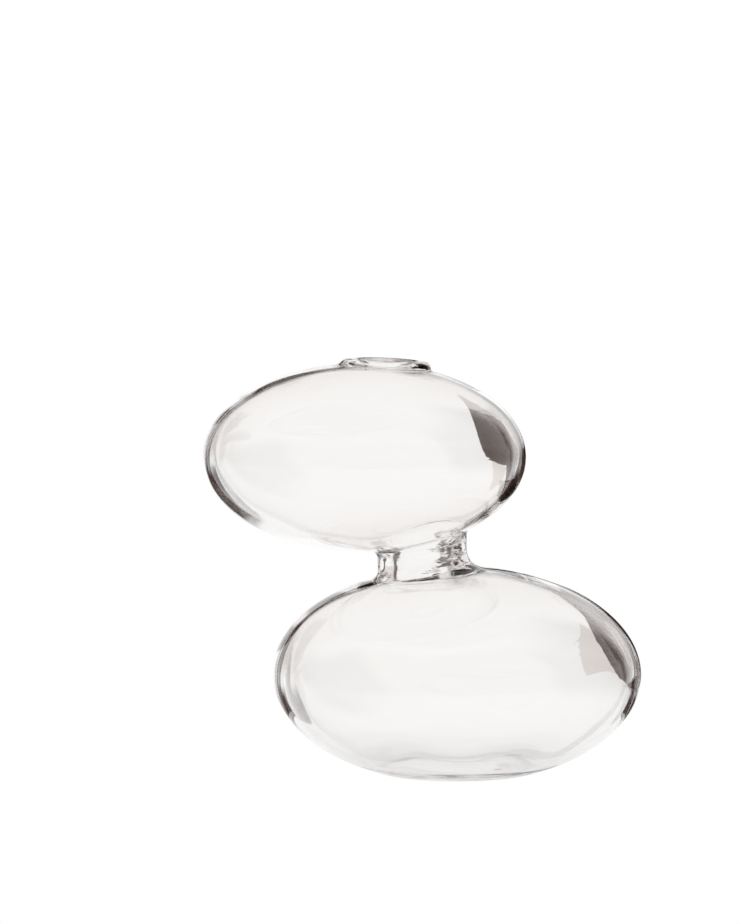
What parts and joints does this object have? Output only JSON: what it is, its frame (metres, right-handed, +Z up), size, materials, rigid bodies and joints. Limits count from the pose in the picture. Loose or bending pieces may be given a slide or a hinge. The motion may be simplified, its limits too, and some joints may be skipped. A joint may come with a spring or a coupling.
{
  "type": "bubble vase",
  "caption": "Clear blown glass vase of two squashed bubbles stacked off centre, with a short fused neck between them, a thick rolled lip and a flat foot.",
  "frame": {"origin": "centre of the flat foot under the lower bulb", "axes": "+Z up out of the mouth, +X towards the side on which the lower bulb stands out from under the upper one, +Y away from a viewer who sees that side on their right"},
  "size_m": [0.1969, 0.166, 0.1862],
  "materials": {
    "bubble_glass": "clear, fire polished, hand blown with faint ripples",
    "joint_glass": "clear, thick, softly lumpy where it was melted on",
    "lip_glass": "clear, thick, fire polished"
  },
  "bodies": {
    "root": {"lower_bulb": "bubble_glass", "lower_seal_bead": "joint_glass", "neck_tube": "joint_glass", "upper_seal_bead": "joint_glass", "upper_bulb": "bubble_glass", "mouth_lip": "lip_glass"}
  },
  "joints": []
}
